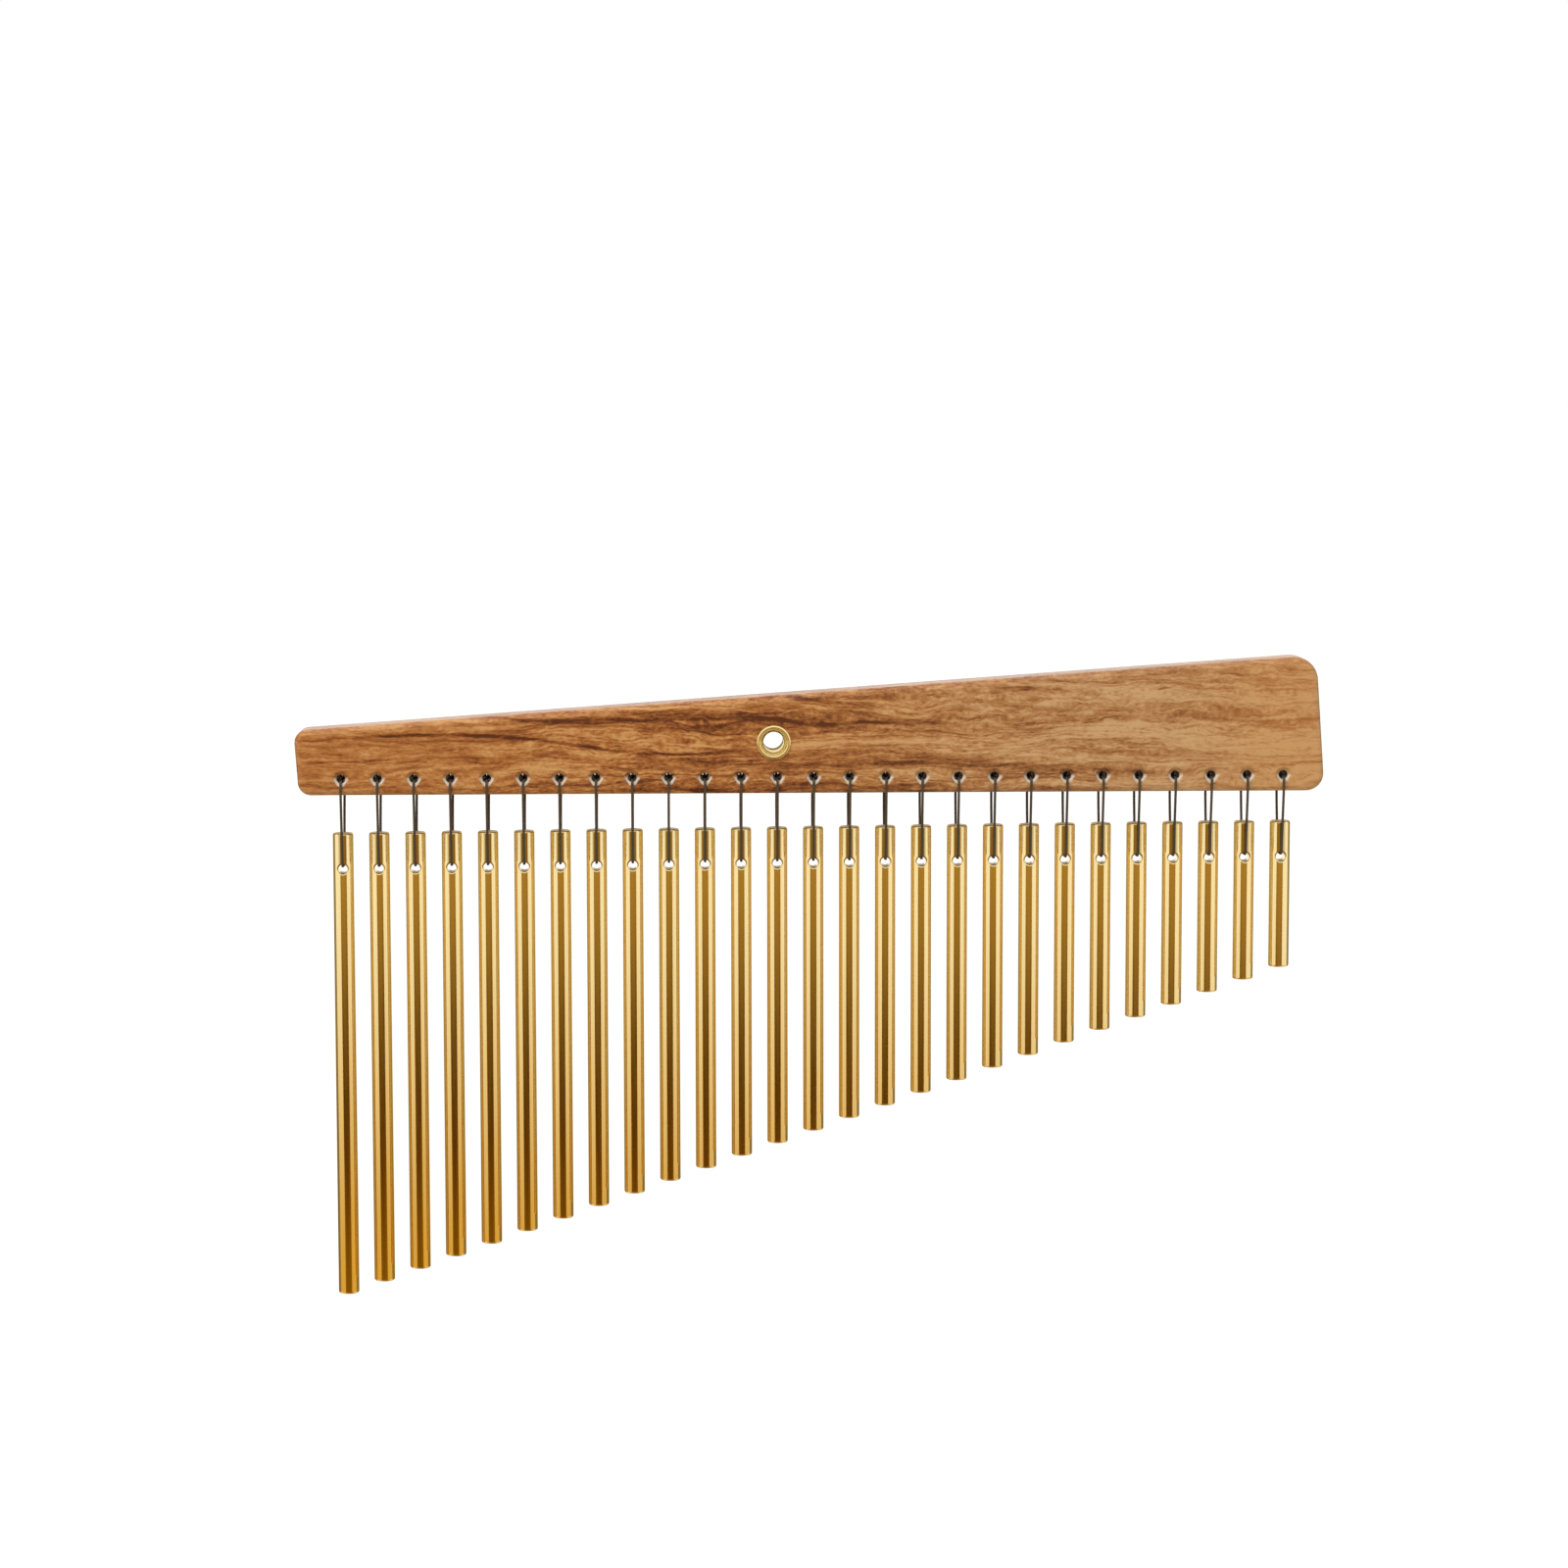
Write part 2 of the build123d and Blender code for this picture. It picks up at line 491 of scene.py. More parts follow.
def with_holes(tree, colour, at, chatter):
    """The board's colour with painted shade in its cord holes and a pale painted highlight on the lower rim
    below each.
    """
    first = holes[numbers[0]]
    pitch = holes[numbers[1]].x - first.x
    which = math_node(tree, "ROUND", math_node(tree, "MULTIPLY_ADD", at["X"], 1 / pitch, -first.x / pitch))
    which = math_node(tree, "MINIMUM", math_node(tree, "MAXIMUM", which, 0.0), len(numbers) - 1.0)
    hole_x = math_node(tree, "MULTIPLY_ADD", which, pitch, first.x)
    aside = math_node(tree, "SUBTRACT", at["X"], hole_x)
    above = math_node(tree, "SUBTRACT", at["Z"], first.z)
    radius = length_of(tree, node(tree, "ShaderNodeCombineXYZ", {0: aside, 2: above}).outputs[0])
    # Painted highlight: a pale V on the lower rim of each countersink, which faces up to the light.
    ragged = math_node(tree, "ADD", radius, centred(tree, chatter, RIM_HIGHLIGHT_RAGGEDNESS))
    rim_highlight = fall(tree, ragged, COUNTERSINK_RADIUS - RIM_HIGHLIGHT_EDGE, COUNTERSINK_RADIUS)
    rim_highlight = math_node(tree, "MULTIPLY", rim_highlight, fall(tree, above, *RIM_HIGHLIGHT_TOP))
    v_spread = math_node(tree, "MULTIPLY_ADD", above, -RIM_HIGHLIGHT_SLOPE, math_node(tree, "ABSOLUTE", aside))
    rim_highlight = math_node(tree, "MULTIPLY", rim_highlight, fall(tree, v_spread, *RIM_HIGHLIGHT_HALF_WIDTH))
    # Painted shade: the bore and its edge are coloured dark, in place of the shade inside the hole.
    bore_shade = fall(tree, radius, *(CORD_HOLE_RADIUS + edge for edge in BORE_FADE))
    return mix(tree, bore_shade, mix(tree, rim_highlight, colour, RIM_HIGHLIGHT_WOOD), BORE_SHADE_WOOD)


def wood_material():
    """Figured hardwood under satin varnish: long wavy grain, curled towards the high end."""
    material, tree = new_material("wood")
    at = axes(tree, own_place(tree))
    x = math_node(tree, "MULTIPLY", at["X"], 1 / MM)
    wave = centred(tree, noise(tree, placed(tree, WAVE_SCALE), BEND_DETAIL), WAVE_HEIGHT)
    curl = centred(tree, noise(tree, placed(tree, CURL_SCALE), BEND_DETAIL), CURL_HEIGHT)
    ripple = math_node(tree, "MULTIPLY", curl, span(tree, x, *CURL_GROWS, LEAST_CURL, 1.0))
    bent_z = math_node(tree, "ADD", at["Z"], math_node(tree, "ADD", wave, ripple))
    bent = node(tree, "ShaderNodeCombineXYZ", {0: at["X"], 1: at["Y"], 2: bent_z}).outputs[0]

    def grain(scale, detail):
        """Noise that follows the bent grain."""
        stretched = node(tree, "ShaderNodeMapping", {"Vector": bent, "Scale": scale}).outputs[0]
        return noise(tree, stretched, detail=detail, roughness=GRAIN_ROUGHNESS)

    layers = {}
    tone = 0.0
    for name, (scale, detail, share) in GRAIN.items():
        layers[name] = grain(scale, detail)
        tone = math_node(tree, "ADD", centred(tree, layers[name], share), tone)
    lively = graph(tree, x, LIVELINESS, 0.0, 2.5)
    light = graph(tree, x, LIGHTNESS, 0.0, 1.0)
    tone = math_node(tree, "MULTIPLY_ADD", tone, lively, light)
    rippled_z = math_node(tree, "MULTIPLY", math_node(tree, "ADD", at["Z"], ripple), 1 / MM)
    broken = span(tree, grain(*BREAKS), *BREAKS_RANGE, LEAST_LINE, 1.0)
    tone = with_lines(tree, tone, x, rippled_z, broken)

    not_faded = span(tree, x, *TAN_FADES, 1.0, LEAST_TAN)
    tanned = math_node(tree, "MULTIPLY", span(tree, x, *TAN_GROWS), not_faded)
    colour = mix(tree, tanned, ramp(tree, tone, ORANGE_WOOD), ramp(tree, tone, TAN_WOOD))
    relief = node(tree, "ShaderNodeBump", {"Strength": 0.25, "Distance": 0.4 * MM, "Height": tone})
    shader = node(tree, "ShaderNodeBsdfPrincipled", {
        "Base Color": with_holes(tree, colour, at, layers["chatter"]),
        "Roughness": span(tree, layers["pores"], *NOISE_RANGE, 0.46, 0.36),
        "Specular IOR Level": 0.35,
        "Coat Weight": 0.5,
        "Coat Roughness": 0.25,
        "Normal": relief.outputs[0],
    })
    finish_material(tree, shader.outputs[0])
    return material


# The bars' metal: as drawn, with a painted reflection of the cord down its front and rear above the
# cross-hole, and at the sawn ends, rougher and darkened as painted shade
ROD = (0.99, 0.79, 0.39, 1)
CORD_REFLECTION_ROD = (0.60, 0.46, 0.20, 1)
SAWN_ROD_SHADE = (0.50, 0.37, 0.16, 1)
SAWN_ROUGHNESS = 0.35
SAWN_FACING = (0.55, 0.95)
DRAWN_SCALE = (900, 900, 30)
DRAWN_ROUGHNESS = (0.11, 0.14)
CORD_REFLECTION_FACING = (0.33, 0.45)
CORD_REFLECTION_ABOVE_HOLE = (0.5 * MM, 2.0 * MM)


def gold_material():
    """Drawn rod with fine lines along its length, rougher sawn ends darkened as painted shade, and a
    painted reflection of the cord above the cross-hole.
    """
    material, tree = new_material("gold_bar")
    drawn = span(tree, noise(tree, placed(tree, DRAWN_SCALE)), *NOISE_RANGE, *DRAWN_ROUGHNESS)
    facing = axes(tree, node(tree, "ShaderNodeTexCoord").outputs["Normal"])
    # Both ends are rougher, and their colour is darkened as painted shade.
    sawn_and_shaded = span(tree, math_node(tree, "ABSOLUTE", facing["Z"]), *SAWN_FACING)
    first, last = cross_hole_place(numbers[0]), cross_hole_place(numbers[-1])
    rise = (last.z - first.z) / (last.x - first.x)
    at = axes(tree, own_place(tree))
    hole_z = math_node(tree, "MULTIPLY_ADD", at["X"], rise, first.z - rise * first.x)
    above = math_node(tree, "SUBTRACT", at["Z"], hole_z)
    # Painted reflection: a darker band down the front and rear above the cross-hole, where the cord is
    # mirrored.
    under_cord = fall(tree, math_node(tree, "ABSOLUTE", facing["X"]), *CORD_REFLECTION_FACING)
    cord_reflection = math_node(tree, "MULTIPLY", under_cord, span(tree, above, *CORD_REFLECTION_ABOVE_HOLE))
    shader = node(tree, "ShaderNodeBsdfPrincipled", {
        "Base Color": mix(tree, sawn_and_shaded, mix(tree, cord_reflection, ROD, CORD_REFLECTION_ROD), SAWN_ROD_SHADE),
        "Metallic": 1.0,
        "Roughness": math_node(tree, "MULTIPLY_ADD", sawn_and_shaded, SAWN_ROUGHNESS, drawn),
    })
    finish_material(tree, shader.outputs[0])
    return material


# The eyelet's metal: polished, its tint at the edges, and dull inside the barrel, where its colour is
# darkened as painted shade
BRASS = (1.0, 0.86, 0.45, 1)
BRASS_EDGE_TINT = (1.0, 0.80, 0.45, 1)
SHADED_DULL_BRASS = (0.11, 0.10, 0.08, 1)
DULL_ROUGHNESS = 0.25
DULL_DEPTH = (-1.0 * MM, 3.0 * MM)
DULL_RADIUS = (BORE_RADIUS + 0.05 * MM, BORE_RADIUS + 0.3 * MM)
SCUFF_SCALE = (700, 700, 700)
SCUFF_ROUGHNESS = (0.18, 0.24)


def brass_material():
    """Polished outside, dull in the rear half of the barrel, where its colour is darkened as painted shade.
    """
    material, tree = new_material("brass")
    radius = length_of(tree, placed(tree, (1, 0, 1)))
    inside = fall(tree, radius, *DULL_RADIUS)
    depth = axes(tree, own_place(tree))["Y"]
    # Painted shade: the rear half of the bore is coloured almost black, in place of the shade inside the
    # barrel; it is also rougher.
    dull_and_shaded = math_node(tree, "MULTIPLY", inside, span(tree, depth, *DULL_DEPTH))
    scuffs = span(tree, noise(tree, placed(tree, SCUFF_SCALE)), *NOISE_RANGE, *SCUFF_ROUGHNESS)
    shader = node(tree, "ShaderNodeBsdfPrincipled", {
        "Base Color": mix(tree, dull_and_shaded, BRASS, SHADED_DULL_BRASS),
        "Metallic": 1.0,
        "Roughness": math_node(tree, "MULTIPLY_ADD", dull_and_shaded, DULL_ROUGHNESS, scuffs),
        "Specular Tint": BRASS_EDGE_TINT,
    })
    finish_material(tree, shader.outputs[0])
    return material


# The cord's fibres
FIBRE_SCALE = (2500, 2500, 2500)
FIBRE_TINTS = [
    (0.3, (0.046, 0.029, 0.013)),
    (0.7, (0.115, 0.080, 0.045)),
]


def cord_material():
    """Dark synthetic cord with paler fibres."""
    material, tree = new_material("cord")
    fibres = ramp(tree, noise(tree, placed(tree, FIBRE_SCALE)), FIBRE_TINTS)
    shader = node(tree, "ShaderNodeBsdfPrincipled", {"Base Color": fibres, "Roughness": 0.6})
    finish_material(tree, shader.outputs[0])
    return material


# The mantle

def mantle_outline(inset):
    """The board's outline as (point, outward way) pairs, drawn inset from its edge."""
    bottom = holes[numbers[0]].z - HOLE_LINE_HEIGHT
    left = holes[numbers[0]].x - END_MARGIN
    right = holes[numbers[-1]].x + END_MARGIN
    lean = (HIGH_END_HEIGHT - LOW_END_HEIGHT) / (right - left)
    corners = [
        (Vector((left, bottom)), LOW_END_CORNER),
        (Vector((right, bottom)), HIGH_END_BOTTOM_CORNER),
        (Vector((right - HIGH_END_HEIGHT * lean, bottom + HIGH_END_HEIGHT)), HIGH_END_TOP_CORNER),
        (Vector((left - LOW_END_HEIGHT * lean, bottom + LOW_END_HEIGHT)), LOW_END_CORNER),
    ]
    made = []
    for i, (here, radius) in enumerate(corners):
        way_in = (here - corners[i - 1][0]).normalized()
        way_out = (corners[(i + 1) % len(corners)][0] - here).normalized()
        turn = math.atan2(way_in.x * way_out.y - way_in.y * way_out.x, way_in.dot(way_out))
        out = Vector((way_in.y, -way_in.x))
        centre = here - way_in * radius * math.tan(turn / 2) - out * radius
        for k in range(CORNER_STEPS + 1):
            facing = Matrix.Rotation(turn * k / CORNER_STEPS, 2) @ out
            made.append((centre + facing * (radius - inset), facing))
    return made


def make_mantle(material):
    """The board with rounded-over edges, countersunk cord holes and the eyelet's hole."""
    surface = Surface()
    loops = []
    for side in (-1, 1):
        for k in range(EDGE_STEPS + 1)[::-side]:
            turn = math.pi / 2 * k / EDGE_STEPS
            inset = EDGE_ROUND * (1 - math.sin(turn))
            y = side * (MANTLE_HALF - EDGE_ROUND * (1 - math.cos(turn)))
            loop = []
            for at, out in mantle_outline(inset):
                normal = (out.x * math.sin(turn), side * math.cos(turn), out.y * math.sin(turn))
                loop.append(surface.add((at.x, y, at.y), normal))
            loops.append(loop)
    for a, b in zip(loops, loops[1:]):
        surface.strip(a, b)

    depth = COUNTERSINK_RADIUS - CORD_HOLE_RADIUS
    cord_hole = filleted([
        (COUNTERSINK_RADIUS + RIM_WIDTH, -MANTLE_HALF, 0),
        (COUNTERSINK_RADIUS, -MANTLE_HALF, CORD_HOLE_SOFTNESS),
        (CORD_HOLE_RADIUS, -MANTLE_HALF + depth, CORD_HOLE_SOFTNESS),
        (CORD_HOLE_RADIUS, MANTLE_HALF - depth, CORD_HOLE_SOFTNESS),
        (COUNTERSINK_RADIUS, MANTLE_HALF, CORD_HOLE_SOFTNESS),
        (COUNTERSINK_RADIUS + RIM_WIDTH, MANTLE_HALF, 0),
    ], steps=3)
    barrel_hole = filleted([
        (BARREL_HOLE_RADIUS + RIM_WIDTH, -MANTLE_HALF, 0),
        (BARREL_HOLE_RADIUS, -MANTLE_HALF, BARREL_HOLE_SOFTNESS),
        (BARREL_HOLE_RADIUS, MANTLE_HALF, BARREL_HOLE_SOFTNESS),
        (BARREL_HOLE_RADIUS + RIM_WIDTH, MANTLE_HALF, 0),
    ], steps=2)
    drilled = [(cord_hole, holes[number]) for number in numbers]
    drilled.append((barrel_hole, Vector((0, 0, 0))))
    front_rims, rear_rims = [loops[0]], [loops[-1]]
    for path, centre in drilled:
        rings = revolve_y(surface, path, centre, HOLE_COLUMNS)
        front_rims.append(rings[0])
        rear_rims.append(rings[-1])
    board = surface.piece("wood_mantle", [front_rims, rear_rims])
    settle(board, "mantle", "mantle", material)


# The eyelet and its washer

def closed_ring(name, path):
    """A piece turned about the hang bore's axis, from a path whose last point is its first again."""
    surface = Surface()
    rings = revolve_y(surface, path[:-1], Vector((0, 0, 0)), EYELET_COLUMNS)
    surface.strip(rings[-1], rings[0])
    return surface.piece(name)


def make_eyelet(material):
    """Funnel, groove and round bead in front, the barrel, and its end rolled over the washer."""
    front = -MANTLE_HALF - FLANGE_HEIGHT
    washer_back = MANTLE_HALF + WASHER_THICKNESS
    end = washer_back + ROLL_HEIGHT
    path = filleted([
        (BORE_RADIUS, 0, 0),
        (BORE_RADIUS, front + FUNNEL_DEPTH, 0.5 * MM),
        (GROOVE_LIP_RADIUS, front + GROOVE_LIP_DEPTH, 0.15 * MM),
        (GROOVE_RADIUS, front + GROOVE_DEPTH, 0.08 * MM),
        (BEAD_INNER_RADIUS, front, BEAD_INNER_ROUND),
        (BEAD_OUTER_RADIUS, front, BEAD_OUTER_ROUND),
        (FLANGE_RADIUS, -MANTLE_HALF, 0.2 * MM),
        (BARREL_RADIUS, -MANTLE_HALF, 0.2 * MM),
        (BARREL_RADIUS, washer_back, 0.1 * MM),
        (ROLL_RADIUS, washer_back, 0.25 * MM),
        (ROLL_RADIUS, end, 0.3 * MM),
        (BORE_RADIUS, end, 0.5 * MM),
        (BORE_RADIUS, 0, 0),
    ])
    outward = [(at, -side) for at, side in reversed(path)]
    settle(closed_ring("brass_eyelet", outward), "mantle", "hang_eyelet", material)


def make_washer(material):
    """A flat ring on the board's rear face."""
    back = MANTLE_HALF + WASHER_THICKNESS
    middle = (BARREL_HOLE_RADIUS + FLANGE_RADIUS) / 2
    path = filleted([
        (middle, MANTLE_HALF, 0),
        (BARREL_HOLE_RADIUS, MANTLE_HALF, 0.1 * MM),
        (BARREL_HOLE_RADIUS, back, 0.1 * MM),
        (FLANGE_RADIUS, back, 0.3 * MM),
        (FLANGE_RADIUS, MANTLE_HALF, 0.1 * MM),
        (middle, MANTLE_HALF, 0),
    ], steps=4)
    settle(closed_ring("brass_washer", path), "mantle", "eyelet_washer", material)


# The bars

def column_way(column):
    """The outward way of one of the bar's columns, counted round from the front."""
    angle = 2 * math.pi * column / BAR_COLUMNS
    return Vector((math.sin(angle), -math.cos(angle), 0))


def bar_ends(surface, x, top, bottom):
    """Both rounded ends. Gives the rings where they meet the bar's side."""
    path = filleted([
        (0, top, 0),
        (BAR_RADIUS, top, BAR_END_ROUND),
        (BAR_RADIUS, bottom, BAR_END_ROUND),
        (0, bottom, 0),
    ], steps=BAR_END_STEPS)
    rings = []
    for at, side in path[1:-1]:
        ring = []
        for column in range(BAR_COLUMNS):
            way = column_way(column)
            point = Vector((x, 0, at.y)) + way * at.x
            ring.append(surface.add(point, way * side.x + Vector((0, 0, side.y))))
        rings.append(ring)
    half = len(rings) // 2
    for arc in (rings[:half], rings[half:]):
        for a, b in zip(arc, arc[1:]):
            surface.strip(a, b)
    surface.fan(surface.add((x, 0, top), (0, 0, 1)), rings[0])
    surface.fan(surface.add((x, 0, bottom), (0, 0, -1)), rings[-1])
    return rings[half - 1], rings[half]


def bar_side(surface, hole, levels, upper, lower):
    """The side, open at the cross-hole's two patches. Gives its points by (column, level)."""
    grid = {}
    for level, z in enumerate(levels):
        for column in range(BAR_COLUMNS):
            from_patch_middle = min(column % HALF_TURN, -column % HALF_TURN)
            if level in (0, PATCH) or from_patch_middle >= HALF_PATCH:
                way = column_way(column)
                grid[column, level] = surface.add(Vector((hole.x, 0, z)) + way * BAR_RADIUS, way)
    surface.strip(upper, [grid[column, 0] for column in range(BAR_COLUMNS)])
    surface.strip([grid[column, PATCH] for column in range(BAR_COLUMNS)], lower)
    for level in range(PATCH):
        for column in range(BAR_COLUMNS):
            if HALF_PATCH <= column % HALF_TURN < HALF_TURN - HALF_PATCH:
                beside = (column + 1) % BAR_COLUMNS
                corners = [(column, level), (beside, level), (beside, level + 1), (column, level + 1)]
                surface.faces.append([grid[corner] for corner in corners])
    return grid


def bar_mouth(surface, hole, levels, grid, side):
    """A patch with its mouth, in front (side -1) or at the rear (side 1). Gives the hole's ring there."""
    steps = range(PATCH)
    border = [(i, 0) for i in steps] + [(PATCH, i) for i in steps]
    border += [(PATCH - i, PATCH) for i in steps] + [(0, PATCH - i) for i in steps]
    rows = [[]]
    starts = []
    turns = []
    for across, level in border:
        column = across - HALF_PATCH if side < 0 else HALF_TURN + HALF_PATCH - across
        rows[0].append(grid[column % BAR_COLUMNS, level])
        starts.append(((across - HALF_PATCH) * 2 * math.pi / BAR_COLUMNS, levels[level]))
        turns.append(math.atan2(across - HALF_PATCH, HALF_PATCH - level))
    mouth = CROSS_HOLE_RADIUS + CROSS_HOLE_LIP
    for k in range(1, MOUTH_RINGS + 1):
        share = k / MOUTH_RINGS
        row = []
        for (psi, z), turn in zip(starts, turns):
            mouth_psi = math.asin(mouth * math.sin(turn) / BAR_RADIUS)
            mouth_z = hole.z + mouth * math.cos(turn)
            here = psi + (mouth_psi - psi) * share
            out = Vector((math.sin(here), side * math.cos(here), 0))
            middle = Vector((hole.x, 0, z + (mouth_z - z) * share))
            row.append(surface.add(middle + out * BAR_RADIUS, out))
        rows.append(row)
    for k in range(1, LIP_STEPS + 1):
        roll = math.pi / 2 * k / LIP_STEPS
        radius = CROSS_HOLE_RADIUS + CROSS_HOLE_LIP * (1 - math.sin(roll))
        row = []
        for turn in turns:
            across = radius * math.sin(turn)
            skin = math.sqrt(BAR_RADIUS ** 2 - across ** 2)
            y = side * (skin - CROSS_HOLE_LIP * (1 - math.cos(roll)))
            outward = Vector((across, side * skin, 0)).normalized()
            inward = Vector((-math.sin(turn), 0, -math.cos(turn)))
            point = (hole.x + across, y, hole.z + radius * math.cos(turn))
            row.append(surface.add(point, outward * math.cos(roll) + inward * math.sin(roll)))
        rows.append(row)
    for a, b in zip(rows, rows[1:]):
        surface.strip(a, b)
    return rows[-1]


def make_bar(number, material):
    """A round bar whose side is a grid of columns, with a patch round each mouth of the cross-hole."""
    low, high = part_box("chime_bar_" + number)
    hole = cross_hole_place(number)
    patch_reach = BAR_RADIUS * math.sin(2 * math.pi * HALF_PATCH / BAR_COLUMNS)
    levels = [hole.z + patch_reach * (1 - 2 * k / PATCH) for k in range(PATCH + 1)]
    surface = Surface()
    upper, lower = bar_ends(surface, hole.x, high.z, low.z)
    grid = bar_side(surface, hole, levels, upper, lower)
    front_ring = bar_mouth(surface, hole, levels, grid, -1)
    rear_ring = bar_mouth(surface, hole, levels, grid, 1)
    surface.strip(front_ring, rear_ring)
    bar = surface.piece("gold_bar_" + number)
    settle(bar, "bar_" + number, "chime_bar_" + number, material)


# The cords

def cord_route(number):
    """The cord's points: a tail, through its knot, the mantle and the bar, round the knot, a tail."""
    hole = holes[number]
    edge_z = hole.z - HOLE_LINE_HEIGHT
    face_y = MANTLE_HALF + CORD_FACE_GAP + CORD_RADIUS
    bar_y = BAR_RADIUS + CORD_FACE_GAP + CORD_RADIUS
    hole_z = hole.z - CORD_HOLE_RADIUS + CORD_RADIUS + CORD_CLEARANCE
    in_bar_z = cross_hole_place(number).z + CROSS_HOLE_RADIUS - CORD_RADIUS - CORD_CLEARANCE
    knot_end_y = KNOT_START_Y + KNOT_PITCH * KNOT_TURNS
    points = [
        (0.4 * MM, knot_end_y + TAIL_LENGTH, hole.z - 2.5 * MM),
        (0, knot_end_y + 0.6 * TAIL_LENGTH, hole.z - 0.6 * MM),
        (0, knot_end_y, hole.z),
        (0, 0.8 * MANTLE_HALF, hole.z),
        (0, 0, hole_z),
        (0, -0.82 * MANTLE_HALF, hole_z),
        (0, -face_y, hole_z - 0.3 * MM),
        (0, -face_y, hole_z - 2.0 * MM),
        (0, -face_y, edge_z + 1.2 * MM),
        (0, -face_y, edge_z - 0.4 * MM),
        (0, -bar_y - 1.0 * MM, in_bar_z + 6.0 * MM),
        (0, -bar_y, in_bar_z + 0.6 * MM),
        (0, -0.75 * bar_y, in_bar_z),
        (0, 0.75 * bar_y, in_bar_z),
        (0, bar_y, in_bar_z + 0.6 * MM),
        (0, bar_y + 1.0 * MM, in_bar_z + 6.0 * MM),
        (0, face_y, edge_z - 0.4 * MM),
        (0.2 * KNOT_RADIUS, face_y, edge_z + 1.2 * MM),
        (KNOT_RADIUS, face_y, edge_z + 5.0 * MM),
    ]
    for k in range(int(KNOT_TURNS * KNOT_POINTS_PER_TURN) + 1):
        turn = 2 * math.pi * k / KNOT_POINTS_PER_TURN
        y = KNOT_START_Y + KNOT_PITCH * k / KNOT_POINTS_PER_TURN
        points.append((KNOT_RADIUS * math.cos(turn), y, hole.z + KNOT_RADIUS * math.sin(turn)))
    points += [
        (-KNOT_RADIUS - 0.2 * MM, knot_end_y + 0.4 * MM, hole.z - 1.6 * MM),
        (-KNOT_RADIUS - 0.6 * MM, knot_end_y + 1.0 * MM, hole.z - TAIL_LENGTH),
    ]
    return [Vector((hole.x + px, py, pz)) for px, py, pz in points]


def smooth_line(points):
    """Points along the smooth curve that has these as its control points, a cord step apart."""
    data = bpy.data.curves.new("route", "CURVE")
    data.dimensions = "3D"
    spline = data.splines.new("NURBS")
    spline.points.add(len(points) - 1)
    for at, point in zip(spline.points, points):
        at.co = (*point, 1)
    spline.order_u = 3
    spline.use_endpoint_u = True
    spline.resolution_u = CURVE_STEPS
    route = bpy.data.objects.new("route", data)
    bpy.context.scene.collection.objects.link(route)
    bpy.context.view_layer.update()
    mesh = bpy.data.meshes.new_from_object(route)
    line = [v.co.copy() for v in mesh.vertices]
    bpy.data.meshes.remove(mesh)
    bpy.data.objects.remove(route)
    bpy.data.curves.remove(data)
    return evenly(line, CORD_STEP)


def evenly(line, step):
    """The same line with points a step apart."""
    lengths = [0.0]
    for a, b in zip(line, line[1:]):
        lengths.append(lengths[-1] + (b - a).length)
    count = round(lengths[-1] / step)
    made = []
    at = 0
    for k in range(count + 1):
        goal = lengths[-1] * k / count
        while at < len(line) - 2 and lengths[at + 1] < goal:
            at += 1
        run = lengths[at + 1] - lengths[at]
        made.append(line[at].lerp(line[at + 1], (goal - lengths[at]) / run if run else 0))
    return made


def make_cord(number, material):
    """A plaited cord: its skin rises and falls where two sets of strands cross."""
    line = smooth_line(cord_route(number))
    surface = Surface()
    across = Vector((1, 0, 0))
    rings = []
    length = 0.0
    for i, here in enumerate(line):
        before, after = line[max(i - 1, 0)], line[min(i + 1, len(line) - 1)]
        way = (after - before).normalized()
        across = (across - way * across.dot(way)).normalized()
        other = way.cross(across)
        length += (here - before).length
        twist = 2 * math.pi * length / CORD_LAY
        ring = []
        for angle in circle(CORD_SIDES):
            round_cord = CORD_STRANDS * angle / 2
            plait = math.sin(round_cord + twist) * math.sin(round_cord - twist)
            out = across * math.cos(angle) + other * math.sin(angle)
            ring.append(surface.add(here + out * CORD_RADIUS * (1 + CORD_RELIEF * plait), out))
        rings.append(ring)
    for a, b in zip(rings, rings[1:]):
        surface.strip(a, b)
    surface.fan(surface.add(line[0], line[0] - line[1]), rings[0])
    surface.fan(surface.add(line[-1], line[-1] - line[-2]), rings[-1])
    cord = surface.piece("cord_" + number)
    settle(cord, None, "cord_loop_" + number, material)
    low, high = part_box("chime_bar_" + number)
    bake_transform(cord)


# The studio's light
WHITE = (1.0, 1.0, 1.0, 1.0)
WARM_WHITE = (1.0, 0.98, 0.95)
SOFT_LIGHT = 0.5
KEY_PLACE = (-0.7, -1.3, 1.6)
KEY_TARGET = (0, 0, -0.05)
KEY_SIZE = 1.5
KEY_POWER = 26

# The floor, and how much it is lifted to white for the camera
FLOOR_Z = -1.2
FLOOR_REACH = 30.0
FLOOR_COLOUR = (0.86, 0.85, 0.83, 1)
FLOOR_LIFT = 0.65

# The floor in mirrors: warm below the object, brighter to its sides, then by distance in metres
NEAR_TINT = (0.34, 0.20, 0.05, 1)
NEAR_BRIGHT_TINT = (1.0, 0.90, 0.70, 1)
NEAR_BRIGHT_STARTS = (0.15, 0.4)
NEAR_BRIGHT_ANGLE = (0.25, 0.7)
NEAR_ENDS = (2.6, 3.4)
FAR_TINTS = [
    (2.0, (0.16, 0.11, 0.04)),
    (3.8, (0.80, 0.44, 0.02)),
    (4.6, (0.60, 0.37, 0.07)),
    (5.2, (0.76, 0.57, 0.30)),
    (5.9, (0.82, 0.67, 0.44)),
    (8.0, (1.0, 1.0, 1.0)),
]
FAR_REACH = 10.0

